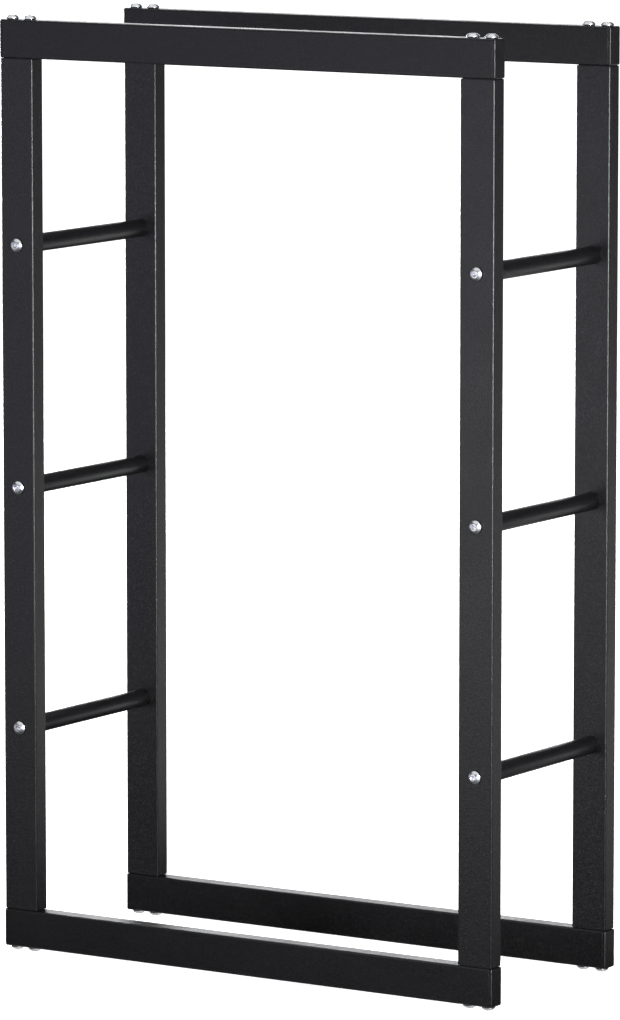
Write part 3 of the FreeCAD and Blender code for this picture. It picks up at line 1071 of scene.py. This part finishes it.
def make_round_tube_tree():
    """A round tube along Z, centred on the origin, shaded smooth all round."""
    sizes = dict.fromkeys(("Outer", "Wall", "Rim", "Long"), "Float")
    tree, given = start_tree("round_tube", sizes)
    across = maths(tree, given["Outer"], given["Wall"], "SUBTRACT")
    route = add(
        tree,
        "GeometryNodeCurvePrimitiveCircle",
        {"Resolution": RUNG_STEPS, "Radius": maths(tree, across, 0.5, "MULTIPLY")},
        mode="RADIUS",
    )
    tube = carry_wall(tree, route.outputs["Curve"], given["Wall"], given["Long"], given["Rim"])
    smooth = add(tree, "GeometryNodeSetShadeSmooth", {"Geometry": tube})
    end_tree(tree, smooth.outputs["Geometry"], given["Finish"])
    return tree


def make_rungs():
    """Three rungs on each side, front to back."""
    sizes = {"Outer": RUNG_OUTER, "Wall": TUBE_WALL, "Rim": RUNG_RIM, "Long": RUNG_LONG}
    rung = outward(run_tree(make_round_tube_tree(), sizes, powder_coat))
    rung.set_sharp_from_angle(angle=RUNG_SHARP)
    print(f"rung closed: {is_closed(rung)}")
    along_y = Matrix.Rotation(-math.pi / 2, 4, "X")
    rungs = []
    for side in SIDES:
        for height in RUNGS:
            node = f"{side}_{height}_rung"
            spot = Matrix.Translation(middle(node)) @ along_y
            rungs.append(make_piece(node + "_tube", rung, spot, "black_powder_coat", node))
    return rungs


rungs = make_rungs()
print(f"{len(rungs)} rungs of {len(rungs[0].data.polygons)} faces")

# %% [markdown]
# ## Bolts
#
# Every bolt is an M8 button head with a socket for a 5 mm key. A lathe would give the head but
# not the six-sided socket, so the bolt is a stack of rings with the same count of points, and
# each ring may be a circle, a hexagon or a turn of the thread, as its own rule says. The
# rings are lofted once, and a tree sets the finished bolt out in rows: side by side over a
# corner, or back to back through a rung. Each copy is turned a random amount about its own axis,
# because nobody lines the sockets up.

# %% Shape one bolt
BOLT_STEPS = 48
THREAD_OUTER = 0.008
THREAD_ROOT = 0.0067
THREAD_PITCH = 0.00125
THREAD_LONG = 0.028
THREAD_ROWS = 6
HEAD_RIM = 0.0016
SEAT_BREAK = 0.0012
HEAD_FLAT = 0.0074
SOCKET_WIDE = 0.005
SOCKET_DEEP = 0.0026
SOCKET_BREAK = 0.0002
SOCKET_FLOOR = 0.9 * SOCKET_WIDE
SOCKET_POINT = 0.1 * SOCKET_WIDE
SOCKET_CONE_DEEP = 1.3 * SOCKET_DEEP
TIP_CHAMFER = 0.0008
DOME_STEPS = 10
BOLT_SHARP = math.radians(32)


def circle(across):
    """A ring rule: the same reach all round."""
    return lambda angle: across / 2


def hexagon(across_flats):
    """A ring rule: the reach of a hexagon's side at each angle."""
    sixth = math.pi / 3
    return lambda angle: across_flats / 2 / math.cos(angle % sixth - sixth / 2)


def thread(height, depth):
    """A ring rule: one slice through a screw thread of the given depth."""

    def reach(angle):
        """The thread's reach at one angle of this slice."""
        turn = (height / THREAD_PITCH - angle / math.tau) % 1.0
        return THREAD_OUTER / 2 - depth * (1 - abs(2 * turn - 1))

    return reach


def dome(step):
    """The head's arc from its rim up to its small flat: (across, height)."""
    rise = HEAD_HIGH - HEAD_RIM
    half_low = HEAD_OUTER / 2
    half_high = HEAD_FLAT / 2
    bend = (half_low**2 - half_high**2 - rise**2) / (2 * rise)
    radius = math.hypot(half_low, bend)
    low = math.atan2(bend, half_low)
    high = math.atan2(bend + rise, half_high)
    angle = low + (high - low) * step / DOME_STEPS
    return 2 * radius * math.cos(angle), HEAD_RIM - bend + radius * math.sin(angle)


def bolt_rings(long):
    """Ring rules and heights from the bolt's tip, up the shank and over the head."""
    rings = [(circle(THREAD_ROOT - 2 * TIP_CHAMFER), -long)]
    rows = int(THREAD_LONG / THREAD_PITCH * THREAD_ROWS)
    full = (THREAD_OUTER - THREAD_ROOT) / 2
    for row in range(rows + 1):
        along = row / rows
        height = -long + TIP_CHAMFER + along * (THREAD_LONG - TIP_CHAMFER)
        fade = min(1.0, (1 - along) * rows / THREAD_ROWS)
        rings.append((thread(height, full * fade), height))
    rings.append((circle(THREAD_OUTER), -SOCKET_BREAK))
    rings.append((circle(THREAD_OUTER), 0.0))
    rings.append((circle(HEAD_OUTER - 2 * SEAT_BREAK), 0.0))
    rings.append((circle(HEAD_OUTER), SEAT_BREAK))
    for step in range(DOME_STEPS + 1):
        across, height = dome(step)
        rings.append((circle(across), height))
    rings.append((hexagon(SOCKET_WIDE + 2 * SOCKET_BREAK), HEAD_HIGH))
    rings.append((hexagon(SOCKET_WIDE), HEAD_HIGH - SOCKET_BREAK))
    rings.append((hexagon(SOCKET_WIDE), HEAD_HIGH - SOCKET_DEEP))
    rings.append((circle(SOCKET_FLOOR), HEAD_HIGH - SOCKET_DEEP))
    rings.append((circle(SOCKET_POINT), HEAD_HIGH - SOCKET_CONE_DEEP))
    return rings


def make_bolt_mesh(name, long):
    """One button-head bolt, its seat on the XY plane and its head up."""
    turned = []
    for rule, height in bolt_rings(long):
        angles = [math.tau * step / BOLT_STEPS for step in range(BOLT_STEPS)]
        turned.append(
            [(rule(a) * math.cos(a), rule(a) * math.sin(a), height) for a in angles]
        )
    form = loft(turned)
    mesh = bpy.data.meshes.new(name)
    form.to_mesh(mesh)
    form.free()
    mesh.shade_smooth()
    mesh.set_sharp_from_angle(angle=BOLT_SHARP)
    return mesh


corner_bolt = make_bolt_mesh("corner_bolt", CORNER_BOLT_LONG)
rung_bolt = make_bolt_mesh("rung_bolt", RUNG_BOLT_LONG)
print(f"bolts {CORNER_BOLT_LONG * 1000:.0f} and {RUNG_BOLT_LONG * 1000:.0f} mm long")
print(f"closed: {is_closed(corner_bolt)}, {is_closed(rung_bolt)}")

# %% The tree that sets bolts out in a row
def make_bolt_row_tree():
    """A bolt repeated along a row, each copy turned by a step and spun at random."""
    inputs = {"Count": "Int", "Step": "Vector", "Turn": "Float", "Seed": "Int"}
    tree, given = start_tree("bolt_row", inputs)
    place = add(tree, "GeometryNodeInputPosition").outputs["Position"]
    marked = add(
        tree,
        "GeometryNodeStoreNamedAttribute",
        {"Geometry": given["Geometry"], "Name": BOLT_PLACE, "Value": place},
        data_type="FLOAT_VECTOR",
    )
    back = maths(tree, maths(tree, given["Count"], 1, "SUBTRACT"), -0.5, "MULTIPLY")
    first = add(
        tree, "ShaderNodeVectorMath", {0: given["Step"], "Scale": back}, operation="SCALE"
    )
    row = add(
        tree,
        "GeometryNodeMeshLine",
        {
            "Count": given["Count"],
            "Start Location": first.outputs["Vector"],
            "Offset": given["Step"],
        },
    )
    index = add(tree, "GeometryNodeInputIndex").outputs["Index"]
    spin = add(
        tree,
        "FunctionNodeRandomValue",
        {"Max": math.tau, "ID": index, "Seed": given["Seed"]},
        data_type="FLOAT",
    )
    over = add(
        tree, "ShaderNodeCombineXYZ", {"X": maths(tree, index, given["Turn"], "MULTIPLY")}
    )
    about = add(tree, "ShaderNodeCombineXYZ", {"Z": spin.outputs["Value"]})
    facing = add(
        tree,
        "FunctionNodeRotateRotation",
        {"Rotation": over.outputs[0], "Rotate By": about.outputs[0]},
        rotation_space="LOCAL",
    )
    copies = repeat(
        tree, row.outputs["Mesh"], marked.outputs["Geometry"], facing.outputs["Rotation"]
    )
    end_tree(tree, copies, given["Finish"])
    return tree


bolt_row = make_bolt_row_tree()
print(f"{bolt_row.name}: {len(bolt_row.nodes)} nodes")

# %% Set out the bolts
FIRST_RUNG_SEED = 20


def bolt_pair(start, step, turn, seed):
    """Two bolts in a row, as one mesh."""
    values = {"Count": 2, "Step": step, "Turn": turn, "Seed": seed}
    return run_tree(bolt_row, values, zinc, start)


def make_corner_bolts():
    """Two bolts over each corner of each frame, heads outwards."""
    made = []
    for face in FACES:
        for side in SIDES:
            for level, way in LEVELS.items():
                node = f"{face}_{side}_{level}_bolts"
                pair = bolt_pair(corner_bolt, (PAIR_STEP, 0, 0), 0.0, len(made))
                low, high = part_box(node)
                seat = middle(node)
                seat.z = high.z - HEAD_HIGH if way > 0 else low.z + HEAD_HIGH
                over = Matrix.Rotation(0 if way > 0 else math.pi, 4, "X")
                name = f"{face}_{side}_{level}_screws"
                place = Matrix.Translation(seat) @ over
                made.append(make_piece(name, pair, place, "zinc_bolt", node))
    return made


def make_rung_bolts():
    """A bolt through a post into each end of each rung, heads outwards."""
    made = []
    head_to_front = Matrix.Rotation(math.pi / 2, 4, "X")
    for side in SIDES:
        for height in RUNGS:
            node = f"{side}_{height}_rung_bolts"
            seed = FIRST_RUNG_SEED + len(made)
            pair = bolt_pair(rung_bolt, (0, 0, -RACK_DEPTH), math.pi, seed)
            place = Matrix.Translation(middle(node)) @ head_to_front
            name = f"{side}_{height}_rung_screws"
            made.append(make_piece(name, pair, place, "zinc_bolt", node))
    return made


corner_bolts = make_corner_bolts()
rung_bolts = make_rung_bolts()
print(f"{len(corner_bolts)} corner pairs and {len(rung_bolts)} rung pairs")

# %% [markdown]
# ## Finishing
#
# The box of the imported model and the box of the finished pieces are compared, and the
# largest change of size between them is printed.

# %% Write the sizes and finish
look_low, look_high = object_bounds()
changes = [abs(a - b) for a, b in zip((*look_low, *look_high), (*cad_low, *cad_high))]
print(f"largest change of size {max(changes) * 1000:.3f} mm")
